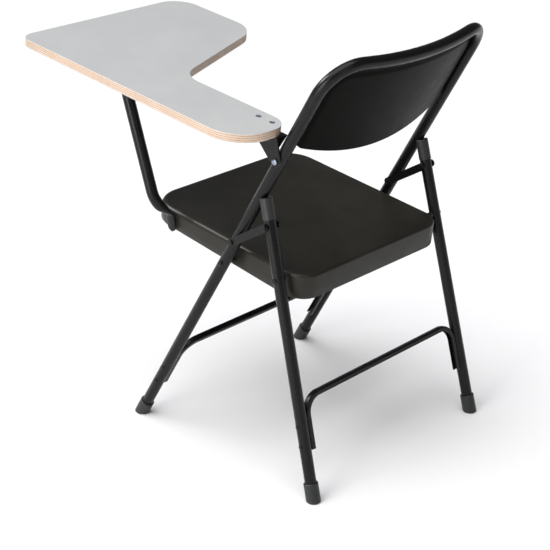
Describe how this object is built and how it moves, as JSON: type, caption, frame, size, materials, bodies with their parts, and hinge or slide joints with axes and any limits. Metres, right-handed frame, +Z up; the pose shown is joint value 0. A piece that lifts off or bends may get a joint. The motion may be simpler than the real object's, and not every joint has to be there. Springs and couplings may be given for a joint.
{
  "type": "folding tablet-arm chair",
  "caption": "Black all-steel folding chair with a light grey writing tablet on the sitter's left, on two hinges.",
  "frame": {"origin": "on the floor, below the middle of the whole chair's bounding box", "axes": "+X to the sitter's left, the tablet's side; +Y to the rear; +Z up, the longest extent"},
  "size_m": [0.569, 0.7364, 0.8323],
  "materials": {
    "frame_paint": "semi-gloss black powder coat",
    "seat_paint": "satin black powder coat",
    "black_plastic": "satin",
    "black_rivet": "semi-gloss black",
    "zinc": "bright zinc plate",
    "laminate": "fine-textured light grey laminate",
    "plywood": "clear-lacquered plywood edge"
  },
  "bodies": {
    "front_frame_body": {"front_frame": "frame_paint", "back_panel": "seat_paint", "front_brace": "frame_paint", "front_brace_rivets": "black_rivet", "front_foot_left": "black_plastic", "front_foot_right": "black_plastic", "seat_front_rivets": "black_rivet", "link_rivets": "black_rivet", "link_washers": "black_rivet", "tablet_hinge_bolt": "zinc", "tablet_hinge_nut": "black_rivet", "tablet_hinge_washer": "zinc"},
    "seat_body": {"seat_pan": "seat_paint", "seat_bracket_left": "frame_paint", "seat_bracket_right": "frame_paint", "front_bushes": "black_plastic", "rear_bushes": "black_plastic", "support_foot_bolt": "zinc"},
    "rear_legs_body": {"rear_leg_left": "frame_paint", "rear_leg_right": "frame_paint", "rear_brace": "frame_paint", "rear_brace_rivets": "black_rivet", "rear_foot_left": "black_plastic", "rear_foot_right": "black_plastic", "rear_leg_cap_left": "black_plastic", "rear_leg_cap_right": "black_plastic", "seat_rear_rivets": "black_rivet"},
    "left_links_body": {"link_outer_left": "frame_paint", "link_inner_left": "frame_paint", "link_stub_rivets_left": "black_rivet"},
    "right_links_body": {"link_outer_right": "frame_paint", "link_inner_right": "frame_paint", "link_stub_rivets_right": "black_rivet"},
    "tablet_body": {"tablet_core": "plywood", "tablet_laminate": "laminate", "tablet_backer": "laminate", "tablet_hinge_bracket": "frame_paint", "tablet_rear_screws": "zinc", "support_clevis": "frame_paint", "clevis_screws": "zinc", "support_pin": "zinc"},
    "support_tube_body": {"support_tube": "frame_paint"}
  },
  "joints": [
    {"name": "seat_fold", "type": "hinge", "parent": "front_frame_body", "child": "seat_body", "pos_m": [-0.03496, 0.08679, 0.4065], "axis": [-1, 0, 0], "range_deg": [0, 96]},
    {"name": "rear_leg_fold", "type": "hinge", "parent": "seat_body", "child": "rear_legs_body", "pos_m": [-0.03496, 0.226, 0.41375], "axis": [1, 0, 0], "range_deg": [0, 57.04]},
    {"name": "left_link_turn", "type": "hinge", "parent": "front_frame_body", "child": "left_links_body", "pos_m": [0.18539, 0.11676, 0.4573], "axis": [-1, 0, 0], "range_deg": [0, 119.24]},
    {"name": "right_link_turn", "type": "hinge", "parent": "front_frame_body", "child": "right_links_body", "pos_m": [-0.2553, 0.11676, 0.4573], "axis": [-1, 0, 0], "range_deg": [0, 119.24]},
    {"name": "tablet_fold", "type": "hinge", "parent": "front_frame_body", "child": "tablet_body", "pos_m": [0.17925, 0.22396, 0.639], "axis": [1, 0, 0], "range_deg": [0, 21.36]},
    {"name": "support_tube_swing", "type": "hinge", "parent": "tablet_body", "child": "support_tube_body", "pos_m": [0.20104, -0.16505, 0.7105], "axis": [1, 0, 0], "range_deg": [0, 51.14]}
  ],
  "couplings": [
    {"joint": "rear_leg_fold", "follows": "seat_fold", "ratio": 0.59406},
    {"joint": "left_link_turn", "follows": "seat_fold", "ratio": 1.242},
    {"joint": "right_link_turn", "follows": "seat_fold", "ratio": 1.242},
    {"joint": "tablet_fold", "follows": "seat_fold", "ratio": 0.2224},
    {"joint": "support_tube_swing", "follows": "seat_fold", "ratio": 0.5326}
  ]
}
